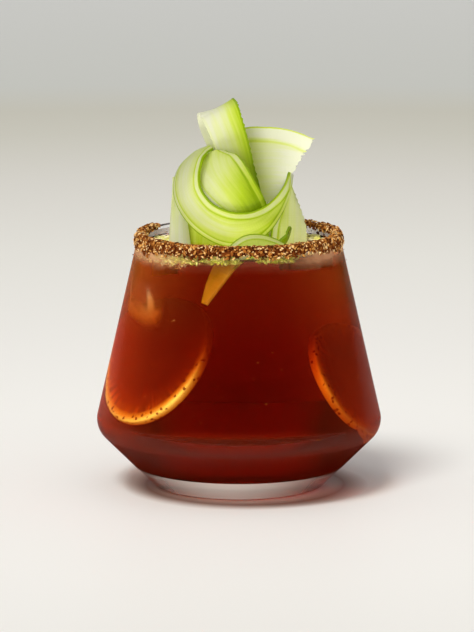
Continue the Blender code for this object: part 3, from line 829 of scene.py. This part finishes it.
# Spice crust
# The rim was dipped in juice and rolled in coarse spice. A thin brown paste sits on the glass like a
# saddle, and flakes of dried chilli, pepper and pale salt and seed stick to it.
CRUST_FROM, CRUST_TO = 148.0, 458.0  # degrees round from +X
CRUST_THICKNESS = 0.6
PASTE_THICKNESS = 0.25
LUMP_HEIGHT = 0.22
BARE_TIP = 0.004  # the share of its length without flakes at each end
BARE_FROM = 0.73  # the share of its length where it turns patchy
OUTSIDE_DROPS = (1.0, 4.2, 4.0, 3.3, 3.0, 3.3, 4.0, 2.4, 0.9, 0.7)
INSIDE_DROPS = (1.0, 2.4, 1.8, 1.3, 1.2, 1.4, 2.2, 3.2, 3.0, 1.2)


def crust_section(share, spread=1.0):
    """The crust's skin at a share of its length: radii and heights from its outer lower edge inwards."""
    end_taper = min(1.0, 12 * share + 0.1, 12 * (1 - share) + 0.1)
    uneven = 1 + 0.13 * math.sin(44 * share) + 0.1 * math.sin(101 * share + 1)
    drop, inside_drop = (
        between(drops, share) * uneven * end_taper * spread for drops in (OUTSIDE_DROPS, INSIDE_DROPS))
    thick = CRUST_THICKNESS * (0.85 + 0.15 * math.sin(62 * share)) * 0.7
    outer, inner = RIM_RADIUS + 0.02, RIM_RADIUS - RIM_WALL - 0.02
    corners = (
        (outer + WALL_LEAN * drop, -drop),
        (outer + WALL_LEAN * drop / 2 + thick, -drop / 2),
        (outer + thick * 0.6, thick * 0.3),
        (outer - RIM_WALL / 2, thick * 0.8),
        (inner - thick * 0.5, thick * 0.3),
        (inner - thick, -inside_drop / 2),
        (inner + WALL_LEAN * inside_drop, -inside_drop),
    )
    return [Vector((radius, GLASS_HEIGHT + rise)) for radius, rise in corners]


def round_rim(azimuth, spot):
    """The place at an azimuth whose radius and height are the spot's."""
    a = math.radians(azimuth)
    return Vector((math.cos(a) * spot.x, math.sin(a) * spot.x, spot.y))


brown_spice, tree, shader, _ = new_material("brown_spice")
place, xyz = object_place(tree)
speckle = noise_at(place, 1600.0)
# Painted light: the spice is painted paler towards the left and right sides of the glass.
painted_light_at_sides = calc("POWER", share_between(xyz["X"], 0, RIM_RADIUS), 2)
mottling_and_side_light = calc("ADD", swing(speckle, 0.3), calc("MULTIPLY", painted_light_at_sides, 0.1))
spice_tone = ramp(calc("ADD", attribute(tree, "tint"), mottling_and_side_light), [
    (0.0, (0.045, 0.008, 0.001)),
    (0.3, (0.16, 0.034, 0.004)),
    (0.55, (0.36, 0.12, 0.018)),
    (0.75, (0.74, 0.37, 0.09)),
    (1.0, (0.97, 0.70, 0.34)),
])
feed(shader, Base_Color=spice_tone, Normal=bumped(speckle, 0.6, 0.0002), Roughness=0.8,
     Specular_IOR_Level=0.1)

paste = start_piece(
    "spice_paste", bpy.ops.mesh.primitive_grid_add, x_subdivisions=24, y_subdivisions=620, size=2)
paste_tint = paste.data.attributes.new("tint", "FLOAT", "POINT")
rim_middle = Vector((RIM_RADIUS - RIM_WALL / 2, GLASS_HEIGHT - 1.0))
for vertex in paste.data.vertices:
    around = vertex.co.x
    share = min(max((vertex.co.y + 1) / 2, 0), 1)
    azimuth = CRUST_FROM + (CRUST_TO - CRUST_FROM) * share
    full = 0.82 if share < BARE_FROM else 0.4
    ragged = full + 0.5 * noise.noise(Vector((share * 190, 0.0, 3.0 + around)))
    spot = between(crust_section(share, ragged), (around + 1) / 2)
    lump = noise.noise(Vector((share * 260, around * 4, 0)))
    spot += (spot - rim_middle).normalized() * lump * LUMP_HEIGHT * (1 - abs(around) ** 6)
    vertex.co = round_rim(azimuth, spot) * MM
    # Painted shade: the paste is painted darker at the front of the glass.
    painted_shade_front = 0.2 * max(0.0, -math.sin(math.radians(azimuth))) ** 4
    paste_tint.data[vertex.index].value = 0.3 + 0.45 * lump - painted_shade_front
face_outwards()
thicken(paste, PASTE_THICKNESS)
bpy.ops.object.shade_smooth()
paste.data.materials.append(brown_spice)
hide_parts("spice_rim")
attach(paste, "root")


THIN_FROM, THINNING = 0.55, 1.6  # where flakes thin out on the way to the edges, and how fast
PATCHINESS = 0.5
CLUMPING = 0.8


def on_crust(spread, stand_off):
    """Places on the crust, in clumps and thinning out towards its edges."""
    def place(draw, seed):
        share, around = draw.uniform(BARE_TIP, 1 - BARE_TIP), draw.random()
        skin = crust_section(share, spread)
        clump = noise.noise(Vector((share * 150, around * 5, seed)))
        thin_out = max(0.0, abs(around - 0.5) * 2 - THIN_FROM) * THINNING
        patchy = PATCHINESS if share > BARE_FROM else 0.0
        if draw.random() < thin_out + patchy - clump * CLUMPING:
            return None
        ahead = between(skin, min(around + 0.02, 1)) - between(skin, max(around - 0.02, 0))
        outward = Vector((ahead.y, -ahead.x)).normalized()
        spot = between(skin, around) + outward * draw.uniform(*stand_off)
        return CRUST_FROM + (CRUST_TO - CRUST_FROM) * share, spot, outward
    return place


def in_glass(azimuths, heights, gaps):
    """Places inside the glass, between two azimuths, two heights and two gaps from the wall."""
    def place(draw, _):
        height = draw.uniform(*heights)
        azimuth = draw.uniform(*azimuths)
        return azimuth, Vector((inner_radius(height) - draw.uniform(*gaps), height)), Vector((0.3, 1))
    return place


FLAKE_WIDTHS, FLAKE_HEIGHTS = (0.35, 0.75), (0.12, 0.35)  # shares of a flake's length
NUBBINESS = 0.22
FLAKE_TUMBLE = 0.8


def scattered(name, count, seed, half_sizes, tints, place, finish):
    """Crumbs of one kind, copied from one nubby pebble, strewn by the placing function and joined."""
    draw = random.Random(seed)
    pebble = start_piece("pebble", bpy.ops.mesh.primitive_ico_sphere_add, subdivisions=1, radius=1.0)
    corners = np.array([tuple(v.co) for v in pebble.data.vertices])
    faces = np.array([tuple(p.vertices) for p in pebble.data.polygons])
    bpy.data.objects.remove(pebble)
    points, tint_values = [], []
    while len(points) < count:
        lies = place(draw, seed)
        if lies is None:
            continue
        azimuth, spot, outward = lies
        long_half = draw.uniform(*half_sizes)
        size = long_half * np.array([1, draw.uniform(*FLAKE_WIDTHS), draw.uniform(*FLAKE_HEIGHTS)])
        jitter = 1 + NUBBINESS * np.array([[draw.uniform(-1, 1)] for _ in corners])
        turn = (
            Matrix.Rotation(math.radians(azimuth), 3, "Z")
            @ Matrix.Rotation(math.atan2(outward.x, outward.y), 3, "Y")
            @ Matrix.Rotation(draw.uniform(0, math.tau), 3, "Z")
            @ Matrix.Rotation(draw.gauss(0, FLAKE_TUMBLE), 3, "X"))
        shape = (corners * jitter * size) @ np.array(turn).T
        points.append((shape + np.array(round_rim(azimuth, spot))) * MM)
        tint_values.append(draw.uniform(*tints))
    every = np.concatenate(points)
    joined = np.concatenate([faces + len(corners) * index for index in range(count)])
    mesh = bpy.data.meshes.new(name)
    mesh.from_pydata(every.tolist(), [], joined.tolist())
    tint = mesh.attributes.new("tint", "FLOAT", "POINT")
    tint.data.foreach_set("value", np.repeat(tint_values, len(corners)))
    crumbs = bpy.data.objects.new(name, mesh)
    scene.collection.objects.link(crumbs)
    mesh.materials.append(finish)
    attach(crumbs, "root")
    return crumbs


crust_flakes = [
    scattered(name, count, seed, half_sizes, tints, on_crust(spread, stand_off), brown_spice)
    for name, count, seed, half_sizes, tints, spread, stand_off in (
        ("dark_pepper_flakes", 1300, 3, (0.35, 0.9), (0.0, 0.3), 1.0, (0.0, 0.8)),
        ("red_chilli_flakes", 1200, 5, (0.4, 1.0), (0.32, 0.64), 1.04, (0.1, 0.8)),
        ("pale_seeds_and_salt", 1350, 8, (0.3, 0.7), (0.68, 0.95), 1.12, (0.1, 0.8)))]
for name, count, seed, half_sizes, tints, *room in (
        ("specks_outside", 60, 16, (0.15, 0.45), (0.1, 0.6), (-15, 195), (79, 87), (-1.9, -1.7)),
        ("stray_spice", 34, 12, (0.2, 0.45), (0.0, 0.9), (95, 200), (84.4, 87.6), (0.3, 0.5)),
        ("spice_under_crust", 520, 13, (0.15, 0.5), (0.55, 1.0), (190, 236), (80.2, 84.4), (0.35, 1.2)),
        ("spice_on_drink", 260, 15, (0.15, 0.5), (0.3, 1.0), (236, 262), (82.0, 84.6), (0.35, 1.2)),
        ("sunk_crumbs", 60, 14, (0.12, 0.4), (0.5, 1.0), (185, 355), (16, 82), (0.5, 2.0))):
    scattered(name, count, seed, half_sizes, tints, in_glass(*room), brown_spice)

# Crumbs of celery
# Small green shreds and cream crumbs that came off the ribbons. They float on the drink along the
# front wall, cling to the glass under the crust there and gather at both sides of the knot.
crumb_finish, tree, shader, _ = new_material("celery_crumbs")
crumb_tone = ramp(attribute(tree, "tint"), [
    (0.0, (0.62, 0.64, 0.03)),
    (0.5, (0.86, 0.80, 0.20)),
    (1.0, (0.95, 0.87, 0.55)),
])
feed(shader, Base_Color=crumb_tone, Roughness=0.4)
for name, count, seed, half_sizes, tints, *room in (
        ("floating_green_shreds", 90, 21, (1.2, 2.6), (0.0, 0.6), (216, 246), (82.4, 85.0), (0.5, 1.6)),
        ("green_shreds_left", 90, 23, (1.4, 2.6), (0.0, 0.45), (250, 269), (83.2, 86.4), (0.5, 1.6)),
        ("green_shreds_right", 110, 24, (1.4, 2.6), (0.0, 0.45), (281, 306), (83.3, 86.4), (0.5, 1.6)),
        ("floating_pale_crumbs", 300, 22, (0.3, 1.0), (0.6, 1.0), (190, 240), (81.0, 84.4), (0.4, 1.2)),
        ("crumbs_afloat_left", 420, 25, (0.5, 1.7), (0.35, 1.0), (146, 204), (83.6, 84.3), (0.5, 9.0)),
        ("crumbs_afloat_right", 420, 26, (0.5, 1.7), (0.5, 1.0), (-20, 60), (83.6, 84.3), (0.5, 9.0))):
    scattered(name, count, seed, half_sizes, tints, in_glass(*room), crumb_finish)

# Ice
# A lump of half-melted ice floats at the left, close to the glass. Clear ice hardly shows in the drink:
# only its edge, a bright crack and the frosted lower end do. The edge's brightness is a painted glint, and
# the bright crack is partly a crack in the ice and partly a painted glint.
ICE_AZIMUTH, ICE_LOW, ICE_HIGH = 200.0, 55.5, 81.0
ICE_MIDDLE_RADIUS = 29.6
ICE_HALF_SIZES = (5.0, 9.0, (ICE_HIGH - ICE_LOW) / 2)
ICE_TURN = (-16, 13, ICE_AZIMUTH)
MELTED_EDGE = 4.8
EDGE_GLINT_AT, CRACK_AT = 190, 212.5  # degrees round from +X
END_RISE, CRACK_RISE, FROST_TOP = 6.5, 9, 19  # above the lower end
FROST_FROM = 28  # from the glass's axis


def bell(value, middle, width):
    """A smooth bump that is one at its middle."""
    return math.exp(-((value - middle) / width) ** 2)


ice_finish, tree, shader, output = new_material("cracked_ice")
place, _ = object_place(tree)
frost_and_glint_share = calc("MULTIPLY", attribute(tree, "frost_and_glint"), calc("ADD", noise_at(place, 420.0), 0.5))
feed(shader, Base_Color=(1.0, 0.92, 0.85, 1), Roughness=0.3)
clear_part = tree.nodes.new("ShaderNodeBsdfTransparent")
feed(output, Surface=mix_shaders(frost_and_glint_share, clear_part, shader).outputs[0])

ice = start_piece("floating_ice", bpy.ops.mesh.primitive_cube_add, size=2)
ice.scale = Vector(ICE_HALF_SIZES) * MM
bpy.ops.object.transform_apply()
melt = ice.modifiers.new("melt", "BEVEL")
melt.width = MELTED_EDGE * MM
melt.segments = 8
bpy.ops.object.modifier_apply(modifier=melt.name)
refine = ice.modifiers.new("refine", "SUBSURF")
refine.levels = 2
bpy.ops.object.modifier_apply(modifier=refine.name)
ice.rotation_euler = [math.radians(turn) for turn in ICE_TURN]
ice.location = (heading(ICE_AZIMUTH, 0) * ICE_MIDDLE_RADIUS + Vector((0, 0, (ICE_LOW + ICE_HIGH) / 2))) * MM
bpy.ops.object.transform_apply()
frost_and_glint = ice.data.attributes.new("frost_and_glint", "FLOAT", "POINT")
for vertex, outward in zip(ice.data.vertices, [vertex.normal.copy() for vertex in ice.data.vertices]):
    vertex.co += outward * 0.5 * MM * noise.noise(vertex.co * 140)
    azimuth = math.degrees(math.atan2(vertex.co.y, vertex.co.x)) % 360
    away, rise = math.hypot(vertex.co.x, vertex.co.y) / MM, vertex.co.z / MM - ICE_LOW
    # The edge is a painted glint, the crack partly a real crack and partly a painted glint; the lower end is
    # frosted.
    edge = 0.9 * bell(azimuth, EDGE_GLINT_AT, 1.5)
    end = 0.95 * bell(rise, END_RISE, 3.2)
    crack_and_glint = 1.8 * bell(azimuth, CRACK_AT, 1.8) * bell(rise, CRACK_RISE, 5.5)
    near_wall = min(1.0, max(0.0, (away - FROST_FROM) / 3))
    low_down = min(1.0, max(0.0, (FROST_TOP - rise) / 5))
    frost_and_glint.data[vertex.index].value = near_wall * low_down * max(0.08, edge, end, crack_and_glint)
bpy.ops.object.shade_smooth()
ice.data.materials.append(ice_finish)
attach(ice, "root")

# Juice smear
# The film of juice that the rim was dipped in dried on the outside of the glass, just under the crust.
# It shows as a pinkish haze at the glass's left and right, with a ragged lower edge.
SMEAR_LOW, SMEAR_HIGH = 79.0, 86.5
OFF_GLASS = 0.08
smear = start_piece(
    "juice_smear", bpy.ops.mesh.primitive_cylinder_add,
    vertices=ROUND_STEPS, radius=1, depth=2, end_fill_type="NOTHING")
for vertex in smear.data.vertices:
    height = SMEAR_LOW if vertex.co.z < 0 else SMEAR_HIGH
    vertex.co.xy *= (inner_radius(height) + RIM_WALL + OFF_GLASS) * MM
    vertex.co.z = height * MM
face_outwards()
bpy.ops.object.shade_smooth_by_angle(angle=math.radians(30))
dried_juice, tree, shader, output = new_material("dried_juice")
feed(shader, Base_Color=(0.95, 0.50, 0.25, 1), Roughness=0.6, Specular_IOR_Level=0.1)
place, xyz = object_place(tree)
drips = noise_at(place, 260.0, 3.0)
sideways = calc("ABSOLUTE", share_between(xyz["X"], 0, RIM_RADIUS))
at_sides = ramp(sideways, [(0.0, 0.1), (0.5, 0.15), (0.7, 0.6), (0.85, 1.2)])
above = share_between(xyz["Z"], SMEAR_LOW, SMEAR_LOW + 6)
ragged_edge = calc("ADD", above, calc("MULTIPLY", calc("SUBTRACT", drips, 0.6), 0.6))
thick = ramp(ragged_edge, [(0.0, 0.0), (0.45, 0.2), (0.55, 0.35), (1.0, 0.6)])
bare = tree.nodes.new("ShaderNodeBsdfTransparent")
feed(output, Surface=mix_shaders(calc("MULTIPLY", thick, at_sides), bare, shader).outputs[0])
smear.data.materials.append(dried_juice)
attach(smear, "root")

# Lamp groups
# The ribbons get less of the window's light than all else, and the table gets none of the boxes'.
for piece in scene.objects:
    if piece.type != "MESH":
        continue
    is_ribbon = piece.name.endswith("_ribbon")
    lights_on["ribbons" if is_ribbon else "all_but_ribbons"].objects.link(piece)
    if piece is not floor:
        lights_on["every_piece"].objects.link(piece)
    if piece.name.endswith("_wheel"):
        lights_on["wheels"].objects.link(piece)
    if piece in (paste, smear, *crust_flakes):
        lights_on["crust"].objects.link(piece)
